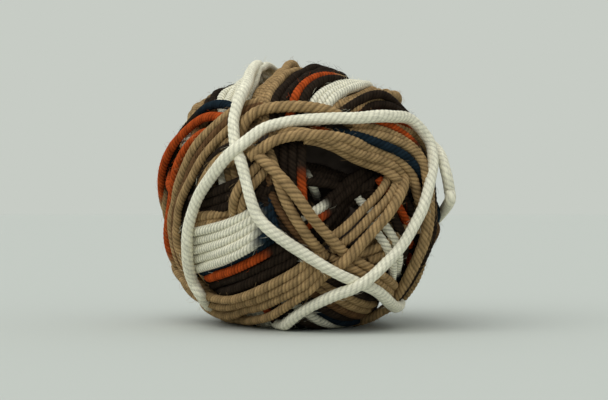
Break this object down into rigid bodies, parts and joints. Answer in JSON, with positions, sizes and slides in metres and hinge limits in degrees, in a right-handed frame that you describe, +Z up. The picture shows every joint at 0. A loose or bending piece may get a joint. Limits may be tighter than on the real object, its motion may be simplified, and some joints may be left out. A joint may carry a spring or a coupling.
{
  "type": "ball of ragg yarn",
  "caption": "Ball of plied ragg yarn, wound as a centre-pull skein and lying on its side, with loose turns over its wound bundles.",
  "frame": {"origin": "centre of the bounding box's base, on the surface that the ball lies on", "axes": "+Z up; -Y is the side of the end face with the three-sided recess, and the ball's winding axis lies about 17 degrees off Y"},
  "size_m": [0.0931, 0.1054, 0.0861],
  "materials": {
    "ragg_wool": "four-ply wool yarn with a soft halo, dyed along its length in white, tan, dark brown, navy and rust"
  },
  "bodies": {
    "root": {"yarn_ball": "ragg_wool"}
  },
  "joints": []
}
